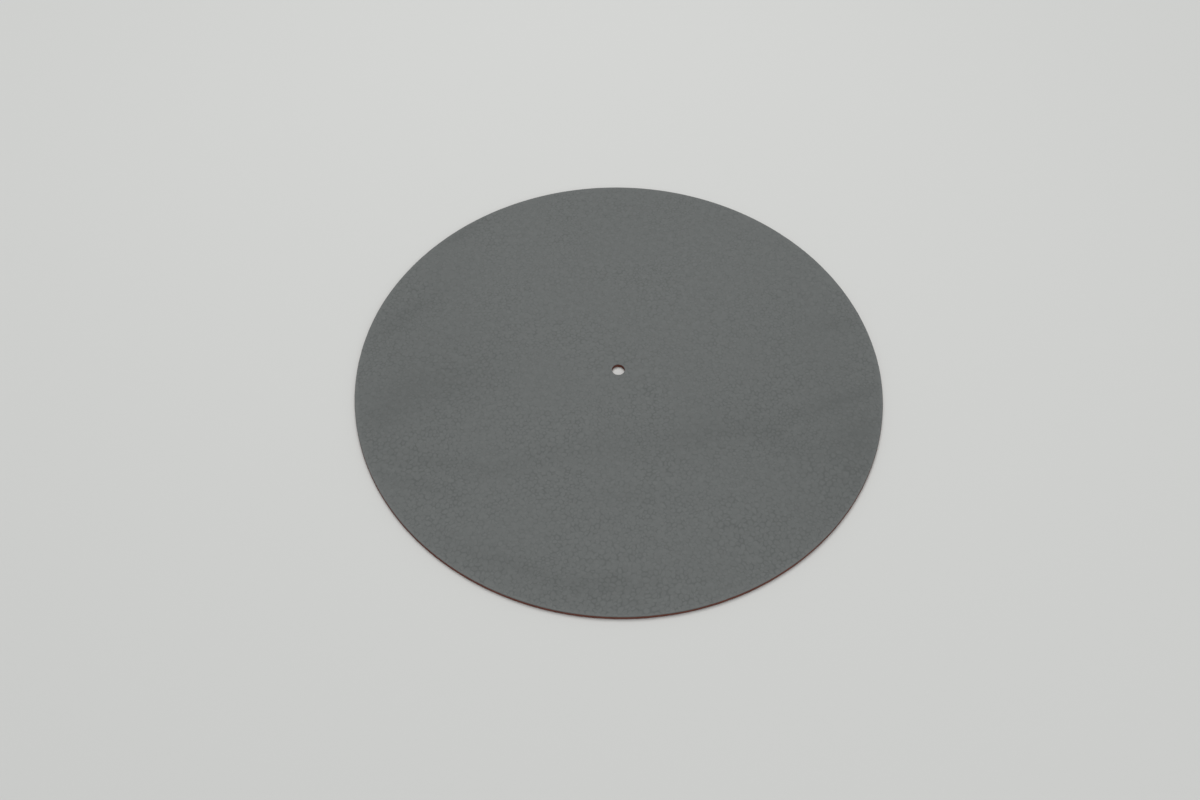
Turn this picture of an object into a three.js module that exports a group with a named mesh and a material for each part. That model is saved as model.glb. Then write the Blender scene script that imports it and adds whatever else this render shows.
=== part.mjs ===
// Leather mat for a record player's platter: one disc cut from a single hide, with a hole punched
// in its middle for the spindle. The grain side is up and the flesh side lies on the platter.
// Millimetres, +Z up. The origin is the middle of the underside, on the spindle's axis.
import * as THREE from "three";

// Sizes of the disc
const MAT_DIAMETER = 300;
const LEATHER_THICKNESS = 2.5;

// The spindle that stands through the mat, and the play that it has in the hole
const SPINDLE_DIAMETER = 7.1;
const SPINDLE_PLAY = 0.1;

// Marks of the tools: the die and the punch drag the grain side down and round it over, their
// bevelled blades leave the cut walls leaning, and handling dulls the fibres at the foot of a cut.
const RIM_SHOULDER_RADIUS = 0.6;
const HOLE_SHOULDER_RADIUS = 0.25;
const RIM_LEAN = 0.15;
const HOLE_LEAN = 0.05;
const FOOT_RADIUS = 0.2;

// How finely the round shapes are drawn
const TURN_STEPS = 180;
const ARC_STEPS = 4;

// Adds a quarter round to the section, about a centre, from one angle to another in degrees.
function addRound(section, centreRadius, centreHeight, radius, fromDegrees, toDegrees) {
  const clockwise = toDegrees < fromDegrees;
  section.absarc(
    centreRadius,
    centreHeight,
    radius,
    THREE.MathUtils.degToRad(fromDegrees),
    THREE.MathUtils.degToRad(toDegrees),
    clockwise,
  );
}

// The mat's section, as distance from the axis against height. It runs out along the underside, up
// the leaning outer cut, in along the grain side and down the wall of the hole.
function matSection() {
  const holeRadius = (SPINDLE_DIAMETER + SPINDLE_PLAY) / 2;
  const rimRadius = MAT_DIAMETER / 2;
  const rimTopRadius = rimRadius - RIM_LEAN;
  const holeTopRadius = holeRadius + HOLE_LEAN;

  const section = new THREE.Path();
  section.moveTo(holeRadius + FOOT_RADIUS, 0);
  section.lineTo(rimRadius - FOOT_RADIUS, 0);
  addRound(section, rimRadius - FOOT_RADIUS, FOOT_RADIUS, FOOT_RADIUS, -90, 0);
  addRound(
    section,
    rimTopRadius - RIM_SHOULDER_RADIUS,
    LEATHER_THICKNESS - RIM_SHOULDER_RADIUS,
    RIM_SHOULDER_RADIUS,
    0,
    90,
  );
  addRound(
    section,
    holeTopRadius + HOLE_SHOULDER_RADIUS,
    LEATHER_THICKNESS - HOLE_SHOULDER_RADIUS,
    HOLE_SHOULDER_RADIUS,
    90,
    180,
  );
  addRound(section, holeRadius + FOOT_RADIUS, FOOT_RADIUS, FOOT_RADIUS, 180, 270);

  // A path gives each arc twice the divisions that it is asked for.
  return section.getPoints(ARC_STEPS / 2);
}

// Pigmented grain side of the hide: a cool grey, dull and even.
function greyLeather() {
  return new THREE.MeshStandardMaterial({ color: 0x707472, roughness: 0.62, metalness: 0 });
}

// The mat itself: its section turned once round the spindle's axis, then stood upright.
function platterMat() {
  const mat = new THREE.Mesh(new THREE.LatheGeometry(matSection(), TURN_STEPS), greyLeather());
  mat.name = "platter_mat";
  mat.rotation.x = Math.PI / 2;
  return mat;
}

const part = new THREE.Group();
part.add(platterMat());

export default part;
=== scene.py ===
"""Leather mat for a record player's platter, and the plain studio that it is photographed in.

The mat is one disc cut from a single hide. Its grain side, on top, is pebbled and finished in grey
pigment; its cut edges and its flesh side show the bare red-brown fibres. Everything is in metres,
with +Z up and the origin in the middle of the underside, as in the CAD model.
"""

import math

import bpy
import numpy as np
from bpy.props import FloatProperty, FloatVectorProperty, IntProperty, PointerProperty
from mathutils import Matrix, Vector
from mathutils.geometry import delaunay_2d_cdt


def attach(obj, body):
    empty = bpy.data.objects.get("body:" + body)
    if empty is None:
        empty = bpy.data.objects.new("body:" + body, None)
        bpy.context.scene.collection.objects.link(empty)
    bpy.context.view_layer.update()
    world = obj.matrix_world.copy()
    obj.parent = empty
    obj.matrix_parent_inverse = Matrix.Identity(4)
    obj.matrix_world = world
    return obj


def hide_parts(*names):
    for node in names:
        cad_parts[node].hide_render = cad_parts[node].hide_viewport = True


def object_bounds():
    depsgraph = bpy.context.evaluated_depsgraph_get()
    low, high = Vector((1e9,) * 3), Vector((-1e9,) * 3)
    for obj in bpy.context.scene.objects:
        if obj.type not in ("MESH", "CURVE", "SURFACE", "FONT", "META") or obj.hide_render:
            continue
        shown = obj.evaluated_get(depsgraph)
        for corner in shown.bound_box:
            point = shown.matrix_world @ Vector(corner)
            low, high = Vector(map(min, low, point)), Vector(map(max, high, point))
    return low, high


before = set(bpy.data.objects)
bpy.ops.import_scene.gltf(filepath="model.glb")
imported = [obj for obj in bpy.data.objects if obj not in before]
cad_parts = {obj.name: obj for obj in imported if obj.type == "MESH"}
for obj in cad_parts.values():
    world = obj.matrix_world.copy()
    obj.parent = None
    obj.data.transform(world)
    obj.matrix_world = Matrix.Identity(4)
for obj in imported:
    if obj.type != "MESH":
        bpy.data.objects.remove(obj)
cad_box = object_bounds()

bl_info = {
    "name": "Leather platter mat",
    "version": (1, 0, 0),
    "blender": (4, 5, 0),
    "location": "3D View > Sidebar > Platter mat",
    "description": "Builds a pebbled leather mat for a record player, and a studio around it",
    "category": "Mesh",
}

MM = 0.001

# The CAD node that the mat is drawn around, and the radius of its hole
CAD_NODE = "platter_mat"
cad_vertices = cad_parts[CAD_NODE].data.vertices
cad_points = np.empty(3 * len(cad_vertices))
cad_vertices.foreach_get("co", cad_points)
cad_hole_radius = float(np.hypot(cad_points[0::3], cad_points[1::3]).min())

# Marks of the die and the punch, as in the CAD model: the grain side is rounded over, the cut
# walls lean, and the fibres at the foot of a cut are dulled.
RIM_SHOULDER = 0.6 * MM
HOLE_SHOULDER = 0.25 * MM
RIM_LEAN = 0.15 * MM
HOLE_LEAN = 0.05 * MM
FOOT = 0.2 * MM

# How finely each cut is drawn, as steps round it and down its shoulder, its wall and its foot, and
# how far its fibres stand off it, as the spread of a normal draw
RIM_STEPS = 720
HOLE_STEPS = 96
SHOULDER_STEPS = 3
WALL_STEPS = 3
FOOT_STEPS = 2
RAGGED_CUT = 0.025 * MM

# Lattices: how far past their reach they are counted before they are trimmed to it, because their
# rows lie closer than the points along them, and how many spare pebbles there are past the rim
LATTICE_SPARE = 1.2
SPARE_PEBBLES = 3

# Pebbles: how far each one strays from its row, as a share of the pitch, then how high the tops
# stand and where the creases between them lie, as shares of the pebble height
PEBBLE_STRAY = 0.46
PEBBLE_TOPS = (0.72, 1.0)
CREASE_FLOORS = (0.0, 0.4)

# Rows of pebbles: how far they bend, over which lengths, and how far a slower bend shifts each one
ROW_BEND = 3.5 * MM
ROW_BEND_LENGTHS = (11.0 * MM, 17.0 * MM, 13.0 * MM, 19.0 * MM)
ROW_BEND_SHIFTS = (1.3, 1.7)

# The grain is deep in places and shallow in others: the shallowest share of its full depth, how
# many waves of which lengths make the patches, how sharply they differ, and how fast, for each
# metre, the grain deepens towards the belly of the hide, which lies on the -Y side
SHALLOWEST_GRAIN = 0.5
PATCH_WAVES = 20
PATCH_LENGTHS = (22.0 * MM, 90.0 * MM)
PATCH_CONTRAST = 1.5
BELLY_LEAN = 9.0

# How far in from the rim the grain is drawn a little paler, partly as pigment that the die pressed
# and handling wore, and partly as a painted highlight where the rounded shoulder catches the light,
# and how deep the blades dragged the grey pigment down the rim and down the wall of the hole
RIM_WEAR_AND_HIGHLIGHT = 1.5 * MM
RIM_DRAG = 0.35 * MM
HOLE_DRAG = 0.15 * MM

# Flesh side: spacing of its points, how far each one strays, as a share of that, how high the
# fibres stand, and how far from a cut the points keep
FLESH_PITCH = 4.6 * MM
FLESH_STRAY = 0.3
FLESH_NAP = 0.05 * MM
FLESH_MARGIN = 1.2 * MM

# A point of the grain closer to a cut than this is moved off it, so that no sliver of a face is
# left there
CUT_CLEARANCE = 0.1 * MM

# A point this close to a circle lies on it, and points this close together are one point
ON_CIRCLE = 0.001 * MM
SAME_POINT = 1e-9

# The mat's material slots, and how many strips of each shoulder the grey pigment covers
GRAIN_SLOT, CUT_SLOT, FLESH_SLOT = 0, 1, 2
GRAIN_STRIPS = 2

# Sockets of Blender's Mix node when it mixes colours
MIX_FACTOR, MIX_FIRST, MIX_SECOND, MIX_COLOUR = 0, 6, 7, 2

# Grain finish: spacing of the uneven spray, of its broad drifts, of the fine wrinkles and of the
# hair pores. Real wrinkles and pores are about 0.3 mm apart and can't be seen from the camera, so
# they are drawn as coarse as closer views need to show them.
SPRAY_PITCH = 5 * MM
DRIFT_PITCH = 70 * MM
WRINKLE_PITCH = 0.55 * MM
PORE_PITCH = 1.2 * MM

# Up to what rise a crease is painted darker as shade, and where a wrinkle and a pore end, as
# shares of their spacing
CREASE_RISE = 0.5
WRINKLE_EDGE = 0.12
PORE_EDGES = (0.04, 0.13)

# Cut finish: spacing of the fibres, of their ends and of the bundles that they lie in, and how
# much closer the fibres are packed in height. Real bundles of hide fibres are about 0.1 mm thick,
# so these too are drawn coarser.
CUT_FIBRE_PITCH = 1.1 * MM
FIBRE_END_PITCH = 0.6 * MM
BUNDLE_PITCH = 7 * MM
CUT_PACKING = 5.0

# Lower edge of the dragged pigment: how far the fibres and a slow noise of a longer spacing push
# it about, and the depths, counted with both pushes, between which it gives way to bare fibre
DRAG_BY_FIBRES = 0.25 * MM
DRAG_BY_NOISE = 1.0 * MM
DRAG_NOISE_PITCH = 24 * MM
DRAG_ENDS = (0.58 * MM, 0.68 * MM)

# Flesh finish: spacing of the brushed patches, whose paler and darker tone is a painted sheen, of
# the strands and of the fluff on them, which way the strands lie, in radians, and how much closer
# they are across that way than along it
BRUSHED_PITCH = 26 * MM
STRAND_PITCH = 1.6 * MM
FLUFF_PITCH = 0.5 * MM
STRAND_TURN = 0.5
STRAND_PACKING = 3.2

# Floor: half its width, its squares along a side, the spacing of the paper's pulp, and the
# distances from the middle between which the camera comes to see its plain colour
FLOOR_REACH = 12.0
FLOOR_STEPS = 24
PULP_PITCH = 1.5 * MM
FLOOR_FADE = (0.28, 0.8)

# Lamps: where each one hangs and how wide it is
KEY_PLACE, KEY_WIDTH = (-0.1, 0.6, 1.65), 1.3
FILL_PLACE, FILL_WIDTH = (0.7, -1.2, 1.1), 1.2

# Camera: the width of its frame in millimetres, and the nearest and furthest that it sees
FRAME_WIDTH = 36.0
CAMERA_CLIP = (0.01, 100.0)

# Long low ridges in the lying hide, in millimetres and degrees: where the middle is, which way the
# ridge runs, how long and how wide each half of it is, and how high it stands
RIDGES = np.array(
    [
        [-15.0, -38.0, 6.0, 100.0, 16.0, 0.50],
        [-131.0, 50.0, 46.0, 30.0, 14.0, 0.40],
        [-103.0, 2.0, 26.0, 34.0, 15.0, 0.45],
        [124.0, -8.0, 22.0, 36.0, 13.0, 0.40],
        [-48.0, -110.0, -17.0, 55.0, 14.0, 0.40],
        [104.0, -92.0, 50.0, 34.0, 17.0, 0.30],
    ]
)

# Clouds and streaks of painted shade, where the flanks of the ridges and the light's fall-off
# towards the edges darken the disc, in the same terms, with how dark each one is
PAINTED_SHADE_CLOUDS = np.array(
    [
        [-125.0, 41.0, 46.0, 24.0, 7.0, 0.80],
        [-99.0, -10.0, 12.0, 26.0, 14.0, 0.70],
        [-131.0, -31.0, 50.0, 20.0, 10.0, 0.70],
        [-98.0, 108.0, 42.0, 18.0, 5.0, 0.90],
        [10.0, 134.0, 0.0, 110.0, 32.0, 0.28],
        [-98.0, -62.0, -10.0, 32.0, 5.0, 0.65],
        [-46.0, -60.0, 16.0, 28.0, 7.0, 0.45],
        [8.0, -52.0, 5.0, 30.0, 11.0, 0.45],
        [54.0, -43.0, 12.0, 24.0, 9.0, 0.55],
        [86.0, -47.0, -36.0, 18.0, 8.0, 0.60],
        [-105.0, -77.0, -18.0, 22.0, 4.5, 0.70],
        [126.0, -21.0, 22.0, 30.0, 4.5, 0.85],
        [128.0, -44.0, 30.0, 24.0, 9.0, 0.60],
        [130.0, -62.0, 64.0, 34.0, 12.0, 0.60],
        [130.0, 34.0, 8.0, 14.0, 5.0, 0.65],
        [-55.0, -122.0, -19.0, 38.0, 5.0, 0.75],
        [-10.0, -133.0, 4.0, 28.0, 6.0, 0.75],
        [10.0, -83.0, 0.0, 30.0, 4.5, 0.40],
        [-128.0, 0.0, 90.0, 100.0, 40.0, 0.50],
        [124.0, -30.0, 90.0, 100.0, 40.0, 0.55],
        [86.0, -104.0, 40.0, 46.0, 20.0, 0.30],
        [56.0, -38.0, 0.0, 46.0, 36.0, 0.30],
        [-78.0, 14.0, 20.0, 30.0, 24.0, 0.24],
        [-103.0, 78.0, 50.0, 24.0, 14.0, 0.20],
    ]
)


def linear(hex_colour):
    """Turns an sRGB colour such as #7b807e into the linear red, green and blue that Blender uses."""
    channels = np.array([int(hex_colour[i : i + 2], 16) for i in (1, 3, 5)]) / 255
    curved = ((channels + 0.055) / 1.055) ** 2.4
    return tuple(float(c) for c in np.where(channels <= 0.04045, channels / 12.92, curved))


def opaque(colour):
    """Adds full alpha to a red, green and blue."""
    return (*colour, 1.0)


# Surfaces


def polar(radius, angle, height):
    """Points at a distance from the axis, an angle round it and a height, one row each."""
    radius, angle, height = np.broadcast_arrays(radius, angle, height)
    return np.stack([radius * np.cos(angle), radius * np.sin(angle), height], axis=-1)


def lattice(pitch, reach, stray, rng):
    """Points about a pitch apart, out to a radius.

    They start as rows of an even triangular lattice, with every other row set half a pitch along
    and the rows sqrt(3) / 2 pitches apart, and then each point strays at random along x and y."""
    count = math.ceil(LATTICE_SPARE * reach / pitch)
    column, row = np.meshgrid(np.arange(-count, count + 1), np.arange(-count, count + 1))
    x = (column + row % 2 / 2) * pitch
    y = row * math.sqrt(3) / 2 * pitch
    points = np.stack([x, y], axis=-1).reshape(-1, 2)
    points += rng.uniform(-stray, stray, points.shape) * pitch
    return points[np.hypot(points[:, 0], points[:, 1]) < reach]


def triangulated(points):
    """The points in Blender's order and the triangles between them, all turned the same way."""
    found = delaunay_2d_cdt([Vector(point) for point in points], [], [], 0, SAME_POINT)
    points, triangles = np.array(found[0]), np.array(found[2])
    first, second, third = (points[triangles[:, i]] for i in range(3))
    along, across = second - first, third - first
    turned = along[:, 0] * across[:, 1] < along[:, 1] * across[:, 0]
    triangles[turned] = triangles[turned][:, ::-1]
    return points, triangles


def bent_rows(points):
    """Moves the points of a lattice so that its rows bend, as the grain does across a hide.

    x moves by the bend times the sine of y over one length, and y by that of x over another. Each
    sine starts from a slower one of the other direction, so that the bends don't repeat."""
    x, y = points.T
    first, second, third, fourth = ROW_BEND_LENGTHS
    shift_x, shift_y = ROW_BEND_SHIFTS
    moved_x = x + ROW_BEND * np.sin(y / first + shift_x * np.sin(x / second))
    moved_y = y + ROW_BEND * np.sin(x / third + shift_y * np.sin(y / fourth))
    return np.column_stack([moved_x, moved_y])


def patches(points, rng):
    """A soft random field over the points, from 0 to 1.

    It is the sum of level waves that run in random directions, with random lengths and phases,
    leaned so that it rises towards -Y, and squeezed by a logistic curve."""
    heading = rng.uniform(0, 2 * math.pi, PATCH_WAVES)
    rate = 2 * math.pi / rng.uniform(*PATCH_LENGTHS, PATCH_WAVES)
    along = points @ np.stack([np.cos(heading) * rate, np.sin(heading) * rate])
    waves = np.sin(along + rng.uniform(0, 2 * math.pi, PATCH_WAVES)).sum(axis=1)
    even = waves / math.sqrt(PATCH_WAVES / 2)
    return 1 / (1 + np.exp(BELLY_LEAN * points[:, 1] - PATCH_CONTRAST * even))


def pebbled_sheet(pitch, reach, rng):
    """A sheet of pebbles as columns x, y, rise, shade and depth, and its triangles.

    The pebbles grow from the points of a strayed lattice. Three neighbouring pebbles meet at the
    mean of their points, and the lines between those meeting places are the creases. The top of a
    pebble is the mean of the meeting places round it, and a fan of triangles joins it to the
    creases. Rise is 0 in the deepest crease and 1 on the highest pebble; shade is how much paler a
    pebble is than the ones round it; depth is the share of the full depth that the grain has."""
    sites, triangles = triangulated(bent_rows(lattice(pitch, reach, PEBBLE_STRAY, rng)))
    n_sites, n_corners = len(sites), len(triangles)
    meeting = sites[triangles].mean(axis=1)
    tops = rng.uniform(*PEBBLE_TOPS, n_sites)
    floors = rng.uniform(*CREASE_FLOORS, n_corners)
    draw = rng.uniform(-1, 1, n_sites)

    # A half-edge runs from one pebble to the next round each triangle, and its twin runs back in
    # the triangle across it. The crease between those two pebbles joins the two meeting places.
    start = triangles.ravel()
    end = np.roll(triangles, -1, axis=1).ravel()
    forward, backward = start * n_sites + end, end * n_sites + start
    order = np.argsort(forward)
    place = np.searchsorted(forward, backward, sorter=order).clip(max=len(order) - 1)
    twin = order[place]
    inner = np.flatnonzero(forward[twin] == backward)
    around = np.bincount(start)
    shade = draw - np.bincount(start, draw[end]) / around
    middle = [np.bincount(start, np.repeat(places, 3)) / around for places in meeting.T]
    columns = np.concatenate(
        [
            np.column_stack([*middle, tops, shade]),
            np.column_stack([meeting, floors, shade[triangles].mean(axis=1)]),
        ]
    )
    depth = SHALLOWEST_GRAIN + (1 - SHALLOWEST_GRAIN) * patches(columns[:, :2], rng)
    columns = np.column_stack([columns, depth])
    crease = n_sites + np.column_stack([twin[inner], inner]) // 3
    return columns, np.column_stack([start[inner], crease])


def cut_away(columns, triangles, radius, side):
    """Cuts a sheet along a circle round the axis and keeps the inside (side 1) or outside (-1).

    An edge that crosses the circle gets a point on it, at the share of the way at which the
    distance from the axis, taken as even along the edge, is the radius. Each triangle that is cut
    gets one more point on the circle, halfway between its two, so that the cut stays round."""
    columns = columns.copy()
    distance = np.hypot(columns[:, 0], columns[:, 1])
    over = side * (distance - radius)
    near = np.abs(over) < CUT_CLEARANCE
    over[near] = np.where(over[near] < 0, -CUT_CLEARANCE, CUT_CLEARANCE)
    columns[near, :2] *= ((radius + side * over[near]) / distance[near])[:, None]

    outside = over[triangles] > 0
    count = outside.sum(axis=1)
    whole = triangles[count == 0]
    odd = np.where(count == 1, outside.argmax(axis=1), (~outside).argmax(axis=1))
    turned = np.take_along_axis(triangles, (odd[:, None] + np.arange(3)) % 3, axis=1)
    one_out, two_out = turned[count == 1], turned[count == 2]

    # Pairs of a kept and a lost corner, whose edge gets a point on the circle
    pairs = np.concatenate(
        [one_out[:, [1, 0]], one_out[:, [2, 0]], two_out[:, [0, 1]], two_out[:, [0, 2]]]
    )
    pairs, which = np.unique(pairs, axis=0, return_inverse=True)
    kept, lost = pairs.T
    share = over[kept] / (over[kept] - over[lost])
    made = columns[kept] + share[:, None] * (columns[lost] - columns[kept])
    made[:, :2] *= (radius / np.hypot(made[:, 0], made[:, 1]))[:, None]
    ends = np.cumsum([len(one_out), len(one_out), len(two_out)])
    second_in, third_in, to_second, to_third = np.split(which.ravel(), ends)
    middle = np.concatenate([made[second_in] + made[third_in], made[to_second] + made[to_third]]) / 2
    middle[:, :2] *= (radius / np.hypot(middle[:, 0], middle[:, 1]))[:, None]
    columns = np.concatenate([columns, made, middle])
    between = np.arange(len(middle)) + len(columns) - len(middle)
    on_one, on_two = between[: len(one_out)], between[len(one_out) :]
    first_made = len(columns) - len(middle) - len(made)
    triangles = np.concatenate(
        [
            whole,
            np.column_stack([one_out[:, 1], one_out[:, 2], on_one]),
            np.column_stack([one_out[:, 2], third_in + first_made, on_one]),
            np.column_stack([one_out[:, 1], on_one, second_in + first_made]),
            np.column_stack([two_out[:, 0], to_second + first_made, on_two]),
            np.column_stack([two_out[:, 0], on_two, to_third + first_made]),
        ]
    )
    used, triangles = np.unique(triangles, return_inverse=True)
    return columns[used], triangles.reshape(-1, 3)


def filled_ring(inner_radius, outer_radius, rng):
    """The flat ring between two circles, as points x, y and triangles.

    A strayed lattice fills it, and evenly spaced points on both circles close it. The triangles
    that span the inner circle, whose corners all lie on it, are the hole and are dropped."""
    inner = polar(inner_radius, ring_angles(HOLE_STEPS), 0.0)[:, :2]
    outer = polar(outer_radius, ring_angles(RIM_STEPS), 0.0)[:, :2]
    spread = lattice(FLESH_PITCH, outer_radius - FLESH_MARGIN, FLESH_STRAY, rng)
    spread = spread[np.hypot(*spread.T) > inner_radius + FLESH_MARGIN]
    points, triangles = triangulated(np.concatenate([inner, outer, spread]))
    across_hole = np.isin(triangles, on_circle(points, inner_radius)).all(axis=1)
    return points, triangles[~across_hole]


def ring_angles(steps):
    """Even angles once round the axis."""
    return np.linspace(-math.pi, math.pi, steps, endpoint=False)


def on_circle(points, radius):
    """The points that lie on a circle round the axis, in the order of their angles."""
    off = np.abs(np.hypot(points[:, 0], points[:, 1]) - radius)
    found = np.flatnonzero(off < ON_CIRCLE)
    return found[np.argsort(np.arctan2(points[found, 1], points[found, 0]))]


def cut_section(radius, outward, lean, shoulder, thickness):
    """Distance from the axis and height down a cut, from the grain side to the flesh side.

    The shoulder and the foot are quarter rounds, and the wall between them leans out evenly.
    outward is 1 for the rim, whose walls face away from the axis, and -1 for the hole."""
    over = np.linspace(math.pi / 2, 0, SHOULDER_STEPS + 1)
    down = np.linspace(0, 1, WALL_STEPS + 1)[1:-1]
    under = np.linspace(0, math.pi / 2, FOOT_STEPS + 1)
    wall_top = thickness - shoulder
    inset = np.concatenate(
        [lean + shoulder * (1 - np.cos(over)), lean * (1 - down), FOOT * (1 - np.cos(under))]
    )
    height = np.concatenate(
        [
            wall_top + shoulder * np.sin(over),
            wall_top + (FOOT - wall_top) * down,
            FOOT * (1 - np.sin(under)),
        ]
    )
    return radius - outward * inset, height


def ragged_rings(radius, section, steps, rng):
    """Rings of points round a cut, down its section but for the two ends.

    Each point of the section is turned round the axis in even steps, and its distance from the
    axis changes by a small normal draw."""
    distance, height = (values[1:-1, None] for values in section)
    rings = polar(distance, ring_angles(steps), height)
    ragged = rng.normal(0, RAGGED_CUT, rings.shape[:2])
    rings[..., :2] *= (1 + ragged / radius)[..., None]
    return rings


def between_rings(upper, lower):
    """Triangles between two closed rings, each given as its points and their rising angles.

    Each step of one ring is joined to the point of the other that is nearest its middle."""
    first, first_angles = upper
    second, second_angles = lower

    def steps(angles):
        return (angles + np.append(angles[1:], angles[0] + 2 * math.pi)) / 2

    first_steps, second_steps = steps(first_angles), steps(second_angles)
    at_second = second[np.searchsorted(second_steps, first_steps) % len(second)]
    at_first = first[np.searchsorted(first_steps, second_steps, side="right") % len(first)]
    return np.concatenate(
        [
            np.column_stack([first, at_second, np.roll(first, -1)]),
            np.column_stack([second, np.roll(second, -1), at_first]),
        ]
    )


def soft_sum(points, rows):
    """The sum of soft oblong hills: each is exp(-(u / length)^2 - (v / width)^2) times its height.

    u and v are how far a point lies along and across the hill from its middle."""
    middle, turn = rows[:, :2] * MM, np.radians(rows[:, 2])
    offset = points[:, None, :2] - middle
    u = offset[..., 0] * np.cos(turn) + offset[..., 1] * np.sin(turn)
    v = offset[..., 1] * np.cos(turn) - offset[..., 0] * np.sin(turn)
    fall = np.exp(-((u / (rows[:, 3] * MM)) ** 2) - (v / (rows[:, 4] * MM)) ** 2)
    return fall @ rows[:, 5]


def mesh_object(name, points, triangles, slots, materials, attributes):
    """A smooth mesh object made from whole arrays, with one number per point for each attribute."""
    mesh = bpy.data.meshes.new(name)
    mesh.vertices.add(len(points))
    mesh.vertices.foreach_set("co", points.astype(np.float32).ravel())
    mesh.loops.add(triangles.size)
    mesh.loops.foreach_set("vertex_index", triangles.astype(np.int32).ravel())
    mesh.polygons.add(len(triangles))
    mesh.polygons.foreach_set("loop_start", np.arange(0, triangles.size, 3, dtype=np.int32))
    mesh.polygons.foreach_set("material_index", slots.astype(np.int32))
    mesh.update(calc_edges=True)
    mesh.shade_smooth()
    for key, values in attributes.items():
        layer = mesh.attributes.new(key, "FLOAT", "POINT")
        layer.data.foreach_set("value", values.astype(np.float32))
    for material in materials:
        mesh.materials.append(material)
    made = bpy.data.objects.new(name, mesh)
    bpy.context.scene.collection.objects.link(made)
    return made


def grain_side(sizes, rim_edge, hole_edge, rng):
    """The grain side: its points, the rise, shade and depth at each one, and its triangles.

    It is the pebbled sheet, cut to a ring. A point lies below the top of the hide by the pebble
    height, times the depth of the grain there, times what its rise lacks of 1."""
    reach = sizes.diameter / 2 + SPARE_PEBBLES * sizes.pebble_pitch
    columns, faces = pebbled_sheet(sizes.pebble_pitch, reach, rng)
    columns, faces = cut_away(columns, faces, rim_edge, 1)
    columns, faces = cut_away(columns, faces, hole_edge, -1)
    rise, shade, depth = columns[:, 2:].T
    height = sizes.thickness - sizes.pebble_height * depth * (1 - rise)
    return np.column_stack([columns[:, :2], height]), (rise, shade, depth), faces


def flesh_side(rim_edge, hole_edge, rng):
    """The flesh side: a ring of points at random heights within the nap, and its triangles."""
    places, faces = filled_ring(hole_edge, rim_edge, rng)
    height = rng.uniform(0, FLESH_NAP, len(places))
    return np.column_stack([places, height]), faces[:, ::-1]


def mat_surface(sizes):
    """The whole skin of the mat: points, triangles, the slot of each triangle, and attributes.

    The grain side and the flesh side are rings. At each cut, more rings of points follow its
    section from one side to the other, so the skin is closed. The ridges then lift all of it."""
    rng = np.random.default_rng(sizes.seed)
    rim_radius, hole_radius = sizes.diameter / 2, sizes.hole_diameter / 2
    rim = cut_section(rim_radius, 1, RIM_LEAN, RIM_SHOULDER, sizes.thickness)
    hole = cut_section(hole_radius, -1, HOLE_LEAN, HOLE_SHOULDER, sizes.thickness)
    grain, (rise, shade, depth), grain_faces = grain_side(sizes, rim[0][0], hole[0][0], rng)
    flesh, flesh_faces = flesh_side(rim[0][-1], hole[0][-1], rng)
    rim_wall = ragged_rings(rim_radius, rim, RIM_STEPS, rng)
    hole_wall = ragged_rings(hole_radius, hole, HOLE_STEPS, rng)

    # All points one after the other, and the number at which each part of the skin starts
    parts = [part.reshape(-1, 3) for part in (grain, flesh, rim_wall, hole_wall)]
    points = np.concatenate(parts)
    flesh_start, rim_start, hole_start = np.cumsum([len(part) for part in parts[:-1]])

    def angles_of(ring):
        return np.arctan2(points[ring, 1], points[ring, 0])

    # Rings of points down a cut, from the grain side's edge to the flesh side's, with their angles
    def rings_down(section, wall_start, steps):
        top = on_circle(grain, section[0][0])
        bottom = flesh_start + on_circle(flesh, section[0][-1])
        count = len(section[0]) - 2
        wall = wall_start + np.arange(count * steps).reshape(count, steps)
        between = [(ring, ring_angles(steps)) for ring in wall]
        return [(top, angles_of(top)), *between, (bottom, angles_of(bottom))]

    faces = [grain_faces, flesh_faces + flesh_start]
    slots = [GRAIN_SLOT, FLESH_SLOT]
    cuts = (
        (rings_down(rim, rim_start, RIM_STEPS), 1),
        (rings_down(hole, hole_start, HOLE_STEPS), -1),
    )
    for rings, outward in cuts:
        for step, (upper, lower) in enumerate(zip(rings, rings[1:])):
            faces.append(between_rings(upper, lower)[:, ::outward])
            slots.append(GRAIN_SLOT if step < GRAIN_STRIPS else CUT_SLOT)
        # The last strip is the lower half of the foot, which shows the nap of the flesh side.
        slots[-1] = FLESH_SLOT
    slots = np.repeat(slots, [len(part) for part in faces])
    faces = np.concatenate(faces)

    below_top = sizes.thickness - points[:, 2]
    lift = soft_sum(points, RIDGES) * MM * sizes.ridge_scale
    points[:, 2] += lift - lift.min()
    points[:, 2] -= points[:, 2].min()

    rest = len(points) - len(grain)
    radius = np.hypot(points[:, 0], points[:, 1])
    drag = np.where(radius < hole_radius + HOLE_SHOULDER + HOLE_LEAN, HOLE_DRAG, RIM_DRAG)
    attributes = {
        "pebble_rise": np.append(rise, np.ones(rest)),
        "pebble_shade": np.append(shade, np.zeros(rest)),
        "grain_depth": np.append(depth, np.full(rest, SHALLOWEST_GRAIN)),
        # Painted shade: darker clouds and streaks where the ridges' flanks and the light's fall-off
        # darken the disc
        "painted_shade_cloud": soft_sum(points, PAINTED_SHADE_CLOUDS),
        # Paler rim: worn pigment together with a painted highlight on the rounded shoulder
        "rim_wear_and_highlight": np.exp(-(((rim_radius - radius) / RIM_WEAR_AND_HIGHLIGHT) ** 2)),
        "bare_depth": below_top - drag,
    }
    return points, faces, slots, attributes


# Materials


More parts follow.
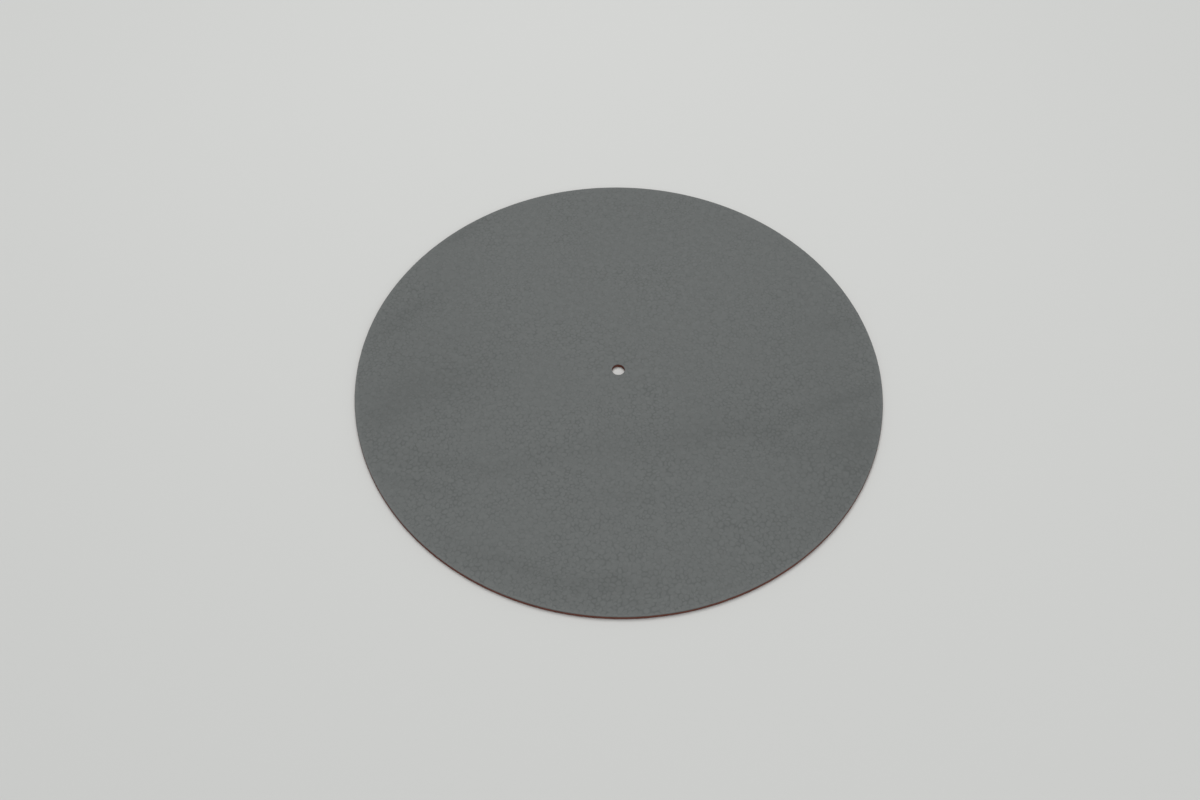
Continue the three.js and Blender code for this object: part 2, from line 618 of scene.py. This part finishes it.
def add_node(tree, kind, inputs, output=0, **settings):
    """Adds a node with its settings, gives each input a value or a link, and returns an output.

    An output node has none of its own, so for one of those nothing comes back."""
    node = tree.nodes.new(kind)
    for name, value in settings.items():
        setattr(node, name, value)
    for name, value in inputs.items():
        if isinstance(value, bpy.types.NodeSocket):
            tree.links.new(value, node.inputs[name])
        else:
            node.inputs[name].default_value = value
    return node.outputs[output] if node.outputs else None


def new_material(name):
    """An empty material with its node tree, ready for a finish."""
    material = bpy.data.materials.new(name)
    material.use_nodes = True
    material.node_tree.nodes.clear()
    return material, material.node_tree


def add_sum(tree, start, terms):
    """start plus each term's value times its weight, as a chain of nodes."""
    total = start
    for value, weight in terms:
        total = add_node(
            tree, "ShaderNodeMath", {0: value, 1: weight, 2: total}, operation="MULTIPLY_ADD"
        )
    return total


def pigmented_grain(colours):
    """Corrected full-grain cowhide, embossed with pebbles and sprayed with opaque grey pigment.

    The eye sees a dull, even grey that breaks up into small pebbles: their tops are a little
    smoother from handling, and the creases stay dull and are drawn darker, partly as pigment held
    there and partly as painted shade. A slightly paler line runs along the rim, partly worn pigment
    and partly a painted highlight on its rounded shoulder, and faint darker clouds and streaks of
    painted shade, where the low ridges and the light's fall-off darken the disc, cross it. In closer
    views, fine wrinkles and hair pores cross the tops of the pebbles, painted darker in their
    grooves and pits as shade."""
    material, tree = new_material("pigmented_pebble_grain")
    place = add_node(tree, "ShaderNodeTexCoord", {}, "Object")
    rise = add_node(tree, "ShaderNodeAttribute", {}, "Fac", attribute_name="pebble_rise")
    shade = add_node(tree, "ShaderNodeAttribute", {}, "Fac", attribute_name="pebble_shade")
    depth = add_node(tree, "ShaderNodeAttribute", {}, "Fac", attribute_name="grain_depth")
    cloud_shade = add_node(tree, "ShaderNodeAttribute", {}, "Fac", attribute_name="painted_shade_cloud")
    worn_and_lit_rim = add_node(tree, "ShaderNodeAttribute", {}, "Fac", attribute_name="rim_wear_and_highlight")
    crease = add_node(
        tree,
        "ShaderNodeMapRange",
        {"Value": rise, "From Min": 0.0, "From Max": CREASE_RISE, "To Min": 1.0, "To Max": 0.0},
        interpolation_type="SMOOTHSTEP",
    )
    valley = add_node(tree, "ShaderNodeMath", {0: crease, 1: depth}, operation="MULTIPLY")
    uneven = add_node(
        tree, "ShaderNodeTexNoise", {"Vector": place, "Scale": 1 / SPRAY_PITCH, "Detail": 2.0}
    )
    broad = add_node(
        tree, "ShaderNodeTexNoise", {"Vector": place, "Scale": 1 / DRIFT_PITCH, "Detail": 3.0}
    )
    wrinkle = add_node(
        tree,
        "ShaderNodeTexVoronoi",
        {"Vector": place, "Scale": 1 / WRINKLE_PITCH},
        "Distance",
        voronoi_dimensions="2D",
        feature="DISTANCE_TO_EDGE",
    )
    pore = add_node(
        tree,
        "ShaderNodeTexVoronoi",
        {"Vector": place, "Scale": 1 / PORE_PITCH},
        "Distance",
        voronoi_dimensions="2D",
    )
    pore_floor, pore_lip = PORE_EDGES
    pit = add_node(
        tree,
        "ShaderNodeMapRange",
        {
            "Value": pore,
            "From Min": pore_floor,
            "From Max": pore_lip,
            "To Min": 1.0,
            "To Max": 0.0,
        },
        interpolation_type="SMOOTHSTEP",
    )
    groove = add_node(
        tree,
        "ShaderNodeMapRange",
        {
            "Value": wrinkle,
            "From Min": 0.0,
            "From Max": WRINKLE_EDGE,
            "To Min": 1.0,
            "To Max": 0.0,
        },
        interpolation_type="SMOOTHSTEP",
    )
    tone = add_sum(
        tree,
        0.4,
        [
            (shade, 0.14),
            (uneven, 0.12),
            (broad, 0.04),
            # painted shade in the creases, partly pigment held there; the depth term below evens out
            # its mean
            (valley, -0.5),
            (depth, 0.1),
            # painted shade of the clouds and streaks
            (cloud_shade, -0.25),
            # painted highlight on the rim's rounded shoulder, together with worn pigment there
            (worn_and_lit_rim, 0.3),
            # painted shade in the pores and in the wrinkle grooves
            (pit, -0.16),
            (groove, -0.12),
        ],
    )
    colour = add_node(
        tree,
        "ShaderNodeMix",
        {
            MIX_FACTOR: tone,
            MIX_FIRST: opaque(colours.grain_shadow),
            MIX_SECOND: opaque(colours.grain),
        },
        MIX_COLOUR,
        data_type="RGBA",
    )
    gloss = add_sum(tree, 0.6, [(valley, 0.14), (uneven, 0.1), (pit, 0.1)])
    relief = add_sum(tree, 0.0, [(rise, 0.5), (groove, -0.3), (pit, -0.4), (valley, -0.6)])
    normal = add_node(
        tree, "ShaderNodeBump", {"Height": relief, "Distance": 0.05 * MM, "Strength": 1.0}
    )
    shader = add_node(
        tree,
        "ShaderNodeBsdfPrincipled",
        {
            "Base Color": colour,
            "Roughness": gloss,
            "IOR": 1.5,
            "Specular IOR Level": 0.35,
            "Normal": normal,
        },
    )
    add_node(tree, "ShaderNodeOutputMaterial", {"Surface": shader})
    return material


def raw_cut(colours):
    """The bare edge of vegetable-tanned hide, sheared by a die and left undyed and unpolished.

    The eye sees dry red-brown fibres packed along the cut, matt and a little uneven, under a thin
    broken line of the grey pigment that the blade dragged over from the grain side."""
    material, tree = new_material("raw_hide_cut")
    place = add_node(tree, "ShaderNodeTexCoord", {}, "Object")
    depth = add_node(tree, "ShaderNodeAttribute", {}, "Fac", attribute_name="bare_depth")
    packed = add_node(
        tree, "ShaderNodeMapping", {"Vector": place, "Scale": (1.0, 1.0, CUT_PACKING)}
    )
    fibre = add_node(
        tree, "ShaderNodeTexNoise", {"Vector": packed, "Scale": 1 / CUT_FIBRE_PITCH, "Detail": 6.0}
    )
    bundle = add_node(
        tree, "ShaderNodeTexNoise", {"Vector": place, "Scale": 1 / BUNDLE_PITCH, "Detail": 3.0}
    )
    ends = add_node(
        tree, "ShaderNodeTexVoronoi", {"Vector": packed, "Scale": 1 / FIBRE_END_PITCH}, "Distance"
    )
    slow = add_node(
        tree, "ShaderNodeTexNoise", {"Vector": place, "Scale": 1 / DRAG_NOISE_PITCH, "Detail": 1.0}
    )
    pushed = add_sum(tree, depth, [(fibre, DRAG_BY_FIBRES), (slow, DRAG_BY_NOISE)])
    drag_start, drag_stop = DRAG_ENDS
    bare = add_node(
        tree,
        "ShaderNodeMapRange",
        {"Value": pushed, "From Min": drag_start, "From Max": drag_stop},
        interpolation_type="SMOOTHSTEP",
    )
    tone = add_sum(tree, -0.3, [(fibre, 0.9), (bundle, 0.5), (ends, 0.25)])
    fibres = add_node(
        tree,
        "ShaderNodeMix",
        {MIX_FACTOR: tone, MIX_FIRST: opaque(colours.cut_shadow), MIX_SECOND: opaque(colours.cut)},
        MIX_COLOUR,
        data_type="RGBA",
    )
    colour = add_node(
        tree,
        "ShaderNodeMix",
        {MIX_FACTOR: bare, MIX_FIRST: opaque(colours.grain_shadow), MIX_SECOND: fibres},
        MIX_COLOUR,
        data_type="RGBA",
    )
    relief = add_sum(tree, 0.0, [(fibre, 1.0), (ends, -0.4)])
    normal = add_node(
        tree, "ShaderNodeBump", {"Height": relief, "Distance": 0.12 * MM, "Strength": 1.0}
    )
    shader = add_node(
        tree,
        "ShaderNodeBsdfPrincipled",
        {"Base Color": colour, "Roughness": 0.86, "IOR": 1.5, "Normal": normal},
    )
    add_node(tree, "ShaderNodeOutputMaterial", {"Surface": shader})
    return material


def raw_flesh(colours):
    """The flesh side of vegetable-tanned hide, shaved flat and left as a short open nap.

    The eye sees a soft matt russet. Loose fibres lie in short strokes that turn from place to
    place, and broad patches are painted paler or darker, as a painted sheen of nap brushed another
    way."""
    material, tree = new_material("raw_flesh_nap")
    place = add_node(tree, "ShaderNodeTexCoord", {}, "Object")
    # Painted sheen: broad patches paler or darker where the nap is brushed another way
    lie = add_node(
        tree,
        "ShaderNodeTexNoise",
        {"Vector": place, "Scale": 1 / BRUSHED_PITCH, "Detail": 3.0, "Distortion": 0.8},
    )
    combed = add_node(
        tree,
        "ShaderNodeMapping",
        {
            "Vector": place,
            "Rotation": (0.0, 0.0, STRAND_TURN),
            "Scale": (1.0, STRAND_PACKING, 1.0),
        },
    )
    strand = add_node(
        tree,
        "ShaderNodeTexNoise",
        {"Vector": combed, "Scale": 1 / STRAND_PITCH, "Detail": 7.0, "Distortion": 1.4},
    )
    fluff = add_node(
        tree, "ShaderNodeTexNoise", {"Vector": place, "Scale": 1 / FLUFF_PITCH, "Detail": 4.0}
    )
    tone = add_sum(tree, -0.55, [(strand, 0.9), (fluff, 0.5), (lie, 0.7)])
    colour = add_node(
        tree,
        "ShaderNodeMix",
        {
            MIX_FACTOR: tone,
            MIX_FIRST: opaque(colours.flesh_shadow),
            MIX_SECOND: opaque(colours.flesh),
        },
        MIX_COLOUR,
        data_type="RGBA",
    )
    relief = add_sum(tree, 0.0, [(strand, 1.0), (fluff, 0.5)])
    normal = add_node(
        tree, "ShaderNodeBump", {"Height": relief, "Distance": 0.25 * MM, "Strength": 1.0}
    )
    shader = add_node(
        tree,
        "ShaderNodeBsdfPrincipled",
        {
            "Base Color": colour,
            "Roughness": 0.95,
            "IOR": 1.5,
            "Sheen Weight": 0.25,
            "Sheen Roughness": 0.5,
            "Normal": normal,
        },
    )
    add_node(tree, "ShaderNodeOutputMaterial", {"Surface": shader})
    return material


def matt_paper(colour):
    """Matt pale grey photo paper, rolled out flat: it shows a soft shadow and no gloss.

    The lamps light it round the mat only. Further out the camera sees its plain colour, as on
    paper that is lit evenly all the way to the horizon."""
    material, tree = new_material("matt_studio_paper")
    place = add_node(tree, "ShaderNodeTexCoord", {}, "Object")
    pulp = add_node(
        tree, "ShaderNodeTexNoise", {"Vector": place, "Scale": 1 / PULP_PITCH, "Detail": 3.0}
    )
    normal = add_node(
        tree, "ShaderNodeBump", {"Height": pulp, "Distance": 0.02 * MM, "Strength": 1.0}
    )
    shader = add_node(
        tree,
        "ShaderNodeBsdfPrincipled",
        {"Base Color": opaque(colour), "Roughness": 0.9, "IOR": 1.4, "Normal": normal},
    )
    distance = add_node(
        tree, "ShaderNodeVectorMath", {0: place}, "Value", operation="LENGTH"
    )
    near, far = FLOOR_FADE
    beyond = add_node(
        tree,
        "ShaderNodeMapRange",
        {"Value": distance, "From Min": near, "From Max": far},
        interpolation_type="SMOOTHSTEP",
    )
    ray = add_node(tree, "ShaderNodeLightPath", {}, "Is Camera Ray")
    seen = add_node(tree, "ShaderNodeMath", {0: beyond, 1: ray}, operation="MULTIPLY")
    plain = add_node(tree, "ShaderNodeEmission", {"Color": opaque(colour), "Strength": 1.0})
    surface = add_node(tree, "ShaderNodeMixShader", {0: seen, 1: shader, 2: plain})
    add_node(tree, "ShaderNodeOutputMaterial", {"Surface": surface})
    return material


# Settings


class MatSizes(bpy.types.PropertyGroup):
    """Sizes of the mat and of its grain."""

    diameter: FloatProperty(
        name="Diameter",
        description="Width of the disc across its cut edge",
        default=cad_box[1].x - cad_box[0].x,
        min=0.1,
        unit="LENGTH",
        precision=4,
    )
    thickness: FloatProperty(
        name="Thickness",
        description="Thickness of the hide, from the flesh side to the tops of the pebbles",
        default=cad_box[1].z - cad_box[0].z,
        min=0.0012,
        unit="LENGTH",
        precision=4,
    )
    hole_diameter: FloatProperty(
        name="Hole",
        description="Width of the punched hole for the spindle",
        default=2 * cad_hole_radius,
        min=0.004,
        unit="LENGTH",
        precision=4,
    )
    pebble_pitch: FloatProperty(
        name="Pebble spacing",
        description="Mean distance from one pebble of the grain to the next",
        default=2.45 * MM,
        min=0.0016,
        unit="LENGTH",
        precision=5,
    )
    pebble_height: FloatProperty(
        name="Pebble height",
        description="How far the highest pebble stands above the deepest crease",
        default=0.12 * MM,
        min=0.0,
        unit="LENGTH",
        precision=5,
    )
    ridge_scale: FloatProperty(
        name="Ridges",
        description="How strongly the hide keeps its long low ridges, from 0 for none",
        default=1.0,
        min=0.0,
        max=3.0,
        subtype="FACTOR",
    )
    seed: IntProperty(
        name="Seed",
        description="Picks the draw of pebbles and fibres",
        default=11,
        min=0,
    )


class MatColours(bpy.types.PropertyGroup):
    """Colours of the mat's three surfaces."""

    grain: FloatVectorProperty(
        name="Pebbles",
        description="Grey pigment on the tops of the pebbles",
        default=linear("#6b6e6d"),
        subtype="COLOR",
        min=0.0,
        max=1.0,
    )
    # Darker grey: painted shade in the creases of the grain, partly pigment held there, and the grey
    # pigment dragged over the cuts
    grain_shadow: FloatVectorProperty(
        name="Creases",
        description="Grey pigment down in the creases of the grain",
        default=linear("#575a59"),
        subtype="COLOR",
        min=0.0,
        max=1.0,
    )
    cut: FloatVectorProperty(
        name="Cut fibres",
        description="Palest fibres on the cut edge and in the hole",
        default=linear("#824b3b"),
        subtype="COLOR",
        min=0.0,
        max=1.0,
    )
    cut_shadow: FloatVectorProperty(
        name="Cut hollows",
        description="Darkest fibres on the cut edge and in the hole",
        default=linear("#452119"),
        subtype="COLOR",
        min=0.0,
        max=1.0,
    )
    flesh: FloatVectorProperty(
        name="Nap",
        description="Palest fibres of the flesh side",
        default=linear("#a97a63"),
        subtype="COLOR",
        min=0.0,
        max=1.0,
    )
    flesh_shadow: FloatVectorProperty(
        name="Nap hollows",
        description="Darkest fibres of the flesh side",
        default=linear("#6f4535"),
        subtype="COLOR",
        min=0.0,
        max=1.0,
    )


class StudioSettings(bpy.types.PropertyGroup):
    """The camera, the lamps and the floor."""

    lens: FloatProperty(
        name="Lens",
        description="Focal length in millimetres, for a frame 36 mm wide",
        default=29.549,
        min=10.0,
    )
    elevation: FloatProperty(
        name="Elevation",
        description="How far above the horizon the camera looks from",
        default=math.radians(55.25),
        subtype="ANGLE",
    )
    distance: FloatProperty(
        name="Distance",
        description="Distance from the camera to the point that it aims at",
        default=0.5569,
        min=0.1,
        unit="LENGTH",
        precision=4,
    )
    aim: FloatVectorProperty(
        name="Aim",
        description="The point that the camera aims at",
        default=(-0.0105, -0.0189, -0.0009),
        subtype="XYZ",
        unit="LENGTH",
        precision=4,
    )
    key_power: FloatProperty(
        name="Key lamp",
        description="Power of the wide lamp above and behind the mat, in watts",
        default=21.3,
        min=0.0,
    )
    fill_power: FloatProperty(
        name="Fill lamp",
        description="Power of the weak lamp on the camera's side, in watts",
        default=4.9,
        min=0.0,
    )
    sky: FloatProperty(
        name="Sky",
        description="Strength of the even light from all round",
        default=0.37,
        min=0.0,
        max=2.0,
    )
    floor: FloatVectorProperty(
        name="Floor",
        description="Colour of the paper that the mat lies on",
        default=linear("#cfd0ce"),
        subtype="COLOR",
        min=0.0,
        max=1.0,
    )


SETTINGS = {"mat_sizes": MatSizes, "mat_colours": MatColours, "studio": StudioSettings}

# Operators and panel


class PLATTER_MAT_OT_cut_mat(bpy.types.Operator):
    """Cuts the leather mat from its hide and dresses its grain side, cut edges and flesh side"""

    bl_idname = "platter_mat.cut_mat"
    bl_label = "Cut the mat"

    def execute(self, context):
        sizes, colours = context.scene.mat_sizes, context.scene.mat_colours
        if sizes.hole_diameter > sizes.diameter / 2:
            raise ValueError("The hole is too wide for the mat: no leather is left to cut")
        materials = [pigmented_grain(colours), raw_cut(colours), raw_flesh(colours)]
        points, faces, slots, attributes = mat_surface(sizes)
        mat = mesh_object("leather_mat", points, faces, slots, materials, attributes)
        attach(mat, "root")
        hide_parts(CAD_NODE)
        return {"FINISHED"}


class PLATTER_MAT_OT_set_studio(bpy.types.Operator):
    """Lays the pale floor and sets up the lamps, the even sky and the camera"""

    bl_idname = "platter_mat.set_studio"
    bl_label = "Set up the studio"

    def execute(self, context):
        studio = context.scene.studio
        lay_floor(studio.floor)
        add_sky(studio.sky, studio.floor)
        add_lamp("key_lamp", KEY_PLACE, KEY_WIDTH, studio.key_power)
        add_lamp("fill_lamp", FILL_PLACE, FILL_WIDTH, studio.fill_power)
        add_camera(studio)
        return {"FINISHED"}


class VIEW3D_PT_platter_mat(bpy.types.Panel):
    """Lists the mat's settings and the steps that build it"""

    bl_label = "Platter mat"
    bl_space_type = "VIEW_3D"
    bl_region_type = "UI"
    bl_category = "Platter mat"

    def draw(self, context):
        layout = self.layout
        for name, group in SETTINGS.items():
            box = layout.box()
            for key in group.__annotations__:
                box.prop(getattr(context.scene, name), key)
        layout.operator(PLATTER_MAT_OT_cut_mat.bl_idname)
        layout.operator(PLATTER_MAT_OT_set_studio.bl_idname)


# Studio


def lay_floor(colour):
    """A level sheet of paper: x and y run evenly over a square, and the height is 0 everywhere."""
    steps = np.linspace(-FLOOR_REACH, FLOOR_REACH, FLOOR_STEPS + 1)
    x, y = np.meshgrid(steps, steps)
    points = np.stack([x, y, np.zeros_like(x)], axis=-1).reshape(-1, 3)
    corner = np.arange(points.shape[0]).reshape(x.shape)
    a, b, c, d = (
        part.ravel()
        for part in (corner[:-1, :-1], corner[:-1, 1:], corner[1:, 1:], corner[1:, :-1])
    )
    faces = np.concatenate([np.column_stack([a, b, c]), np.column_stack([a, c, d])])
    floor = mesh_object(
        "studio_floor", points, faces, np.zeros(len(faces)), [matt_paper(colour)], {}
    )


def add_sky(strength, seen_colour):
    """Even light from all round, which the camera itself sees as the floor's colour."""
    world = bpy.data.worlds.new("studio_sky")
    world.use_nodes = True
    tree = world.node_tree
    tree.nodes.clear()
    ray = add_node(tree, "ShaderNodeLightPath", {}, "Is Camera Ray")
    light = add_node(
        tree, "ShaderNodeBackground", {"Color": (1.0, 1.0, 1.0, 1.0), "Strength": strength}
    )
    seen = add_node(tree, "ShaderNodeBackground", {"Color": opaque(seen_colour), "Strength": 1.0})
    mixed = add_node(tree, "ShaderNodeMixShader", {0: ray, 1: light, 2: seen})
    add_node(tree, "ShaderNodeOutputWorld", {"Surface": mixed})
    bpy.context.scene.world = world


def looking_at(place, target):
    """The matrix of something at a place that looks at a target along its own -Z, with +Y up."""
    place = Vector(place)
    turn = (Vector(target) - place).to_track_quat("-Z", "Y")
    return Matrix.Translation(place) @ turn.to_matrix().to_4x4()


def add_lamp(name, place, width, power):
    """A square soft lamp that faces the middle of the mat."""
    data = bpy.data.lights.new(name, "AREA")
    data.shape = "SQUARE"
    data.size = width
    data.energy = power
    lamp = bpy.data.objects.new(name, data)
    lamp.matrix_world = looking_at(place, (0.0, 0.0, 0.0))
    bpy.context.scene.collection.objects.link(lamp)


def add_camera(studio):
    """The camera, straight in front of the mat and looking down on it."""
    data = bpy.data.cameras.new("photo_camera")
    data.sensor_fit = "HORIZONTAL"
    data.sensor_width = FRAME_WIDTH
    data.lens = studio.lens
    data.clip_start, data.clip_end = CAMERA_CLIP
    camera = bpy.data.objects.new("photo_camera", data)
    aim = Vector(studio.aim)
    back = Vector((0.0, -math.cos(studio.elevation), math.sin(studio.elevation)))
    camera.matrix_world = looking_at(aim + back * studio.distance, aim)
    bpy.context.scene.collection.objects.link(camera)
    bpy.context.scene.camera = camera
    bpy.context.scene.view_settings.view_transform = "Standard"


CLASSES = (
    *SETTINGS.values(),
    PLATTER_MAT_OT_cut_mat,
    PLATTER_MAT_OT_set_studio,
    VIEW3D_PT_platter_mat,
)


def register():
    """Adds the classes and hangs the settings on the scene."""
    for cls in CLASSES:
        bpy.utils.register_class(cls)
    for name, group in SETTINGS.items():
        setattr(bpy.types.Scene, name, PointerProperty(type=group))


def unregister():
    """Takes the settings and the classes away again."""
    for name in SETTINGS:
        delattr(bpy.types.Scene, name)
    for cls in reversed(CLASSES):
        bpy.utils.unregister_class(cls)


def main():
    """Builds everything in order."""
    register()
    bpy.ops.platter_mat.cut_mat()
    bpy.ops.platter_mat.set_studio()


if __name__ == "__main__":
    main()
